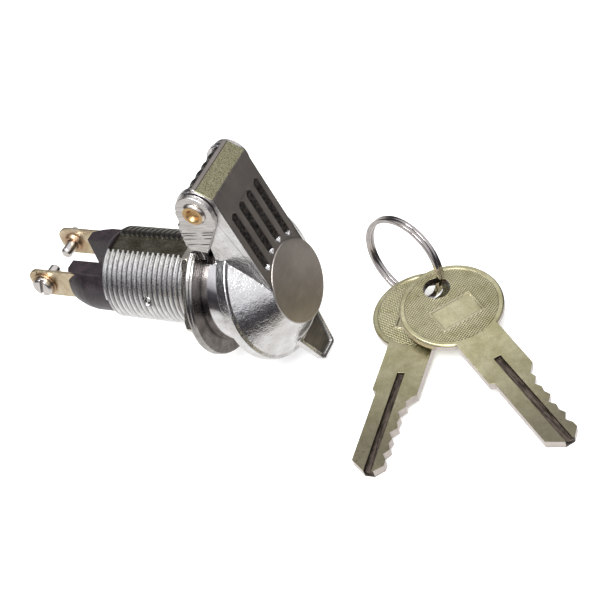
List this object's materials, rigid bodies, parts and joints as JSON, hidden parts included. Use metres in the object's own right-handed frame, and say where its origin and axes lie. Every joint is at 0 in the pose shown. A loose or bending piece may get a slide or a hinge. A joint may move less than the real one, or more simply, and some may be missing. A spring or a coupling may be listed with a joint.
{
  "type": "selector key switch",
  "caption": "Panel key switch with a sprung hinged dust cover over its keyway, a threaded barrel with nut, rear screw terminals and two keys on a ring.",
  "frame": {"origin": "centre of the flange's rear, panel-side face, on the barrel's axis", "axes": "+Y along the barrel, from the flange to the terminals, so the panel's front faces -Y; +Z from the barrel's axis to the cover's hinge; +X across"},
  "size_m": [0.0524, 0.1172, 0.0507],
  "materials": {
    "barrel_chrome": "bright nickel-chrome plated thread",
    "flange_chrome": "turned and plated",
    "cover_chrome": "plated zinc casting, satin arm, bright rim",
    "steel": "plain",
    "spring_steel": "drawn wire",
    "nut_zinc": "yellow zinc plated",
    "brass": "plain",
    "nickel": "nickel plated brass",
    "rubber": "matt",
    "white_plastic": "moulded",
    "black_phenolic": "moulded phenolic, slight gloss",
    "strip_brass": "dull tinned brass",
    "contact_silver": "silver",
    "washer_bronze": "phosphor bronze",
    "screw_nickel": "nickel plated",
    "ring_steel": "polished",
    "key_nickel": "nickel silver, coined head"
  },
  "bodies": {
    "switch_body": {"barrel": "barrel_chrome", "hinge_flange": "flange_chrome", "hinge_pin": "brass", "cover_spring": "spring_steel", "plug_pin": "steel", "index_ball": "steel", "index_spring": "spring_steel", "contact_housing": "black_phenolic", "terminal_left": "strip_brass", "terminal_right": "strip_brass", "contact_rivets": "contact_silver"},
    "cover": {"cover": "cover_chrome", "cover_pad": "rubber"},
    "nut": {"nut_washer": "steel", "mounting_nut": "nut_zinc"},
    "lock_plug": {"lock_plug": "nickel", "contact_rotor": "white_plastic", "contact_spring": "spring_steel", "bridge_contact": "brass"},
    "wafers": {"wafers": "brass", "wafer_springs": "spring_steel"},
    "screw_left": {"clamp_washer_left": "washer_bronze", "terminal_screw_left": "screw_nickel"},
    "screw_right": {"clamp_washer_right": "washer_bronze", "terminal_screw_right": "screw_nickel"},
    "key_ring": {"key_ring": "ring_steel"},
    "upper_key": {"upper_key": "key_nickel"},
    "lower_key": {"lower_key": "key_nickel"}
  },
  "joints": [
    {"name": "cover_hinge", "type": "hinge", "parent": "switch_body", "child": "cover", "pos_m": [0, -0.0066, 0.0259], "axis": [-1, 0, 0], "range_deg": [-13.2, 95]},
    {"name": "key_turn", "type": "hinge", "parent": "switch_body", "child": "lock_plug", "pos_m": [0, 0, 0], "axis": [0, 1, 0], "range_deg": [0, 90]},
    {"name": "wafer_lift", "type": "slide", "parent": "lock_plug", "child": "wafers", "axis": [0, 0, 1], "range_m": [-0.0009, 0], "deforming": ["wafer_springs"]},
    {"name": "nut_travel", "type": "slide", "parent": "switch_body", "child": "nut", "axis": [0, 1, 0], "range_m": [0, 0.02]},
    {"name": "screw_left_turn", "type": "hinge", "parent": "switch_body", "child": "screw_left", "pos_m": [-0.008, 0.04, 0.0011], "axis": [-1, 0, 0], "continuous": true},
    {"name": "screw_right_turn", "type": "hinge", "parent": "switch_body", "child": "screw_right", "pos_m": [0.008, 0.04, 0.0011], "axis": [1, 0, 0], "continuous": true},
    {"name": "key_ring_slide", "type": "slide", "parent": "switch_body", "child": "key_ring", "axis": [0, -1, 0], "range_m": [0, 0.06]},
    {"name": "upper_key_swing", "type": "hinge", "parent": "key_ring", "child": "upper_key", "pos_m": [0.0149, -0.038, -0.0139], "axis": [-0.0843, -0.1005, 0.9914], "range_deg": [-12, 12]},
    {"name": "lower_key_swing", "type": "hinge", "parent": "key_ring", "child": "lower_key", "pos_m": [0.01749, -0.03497, -0.0174], "axis": [-0.0558, -0.0035, 0.9984], "range_deg": [-12, 12]}
  ]
}
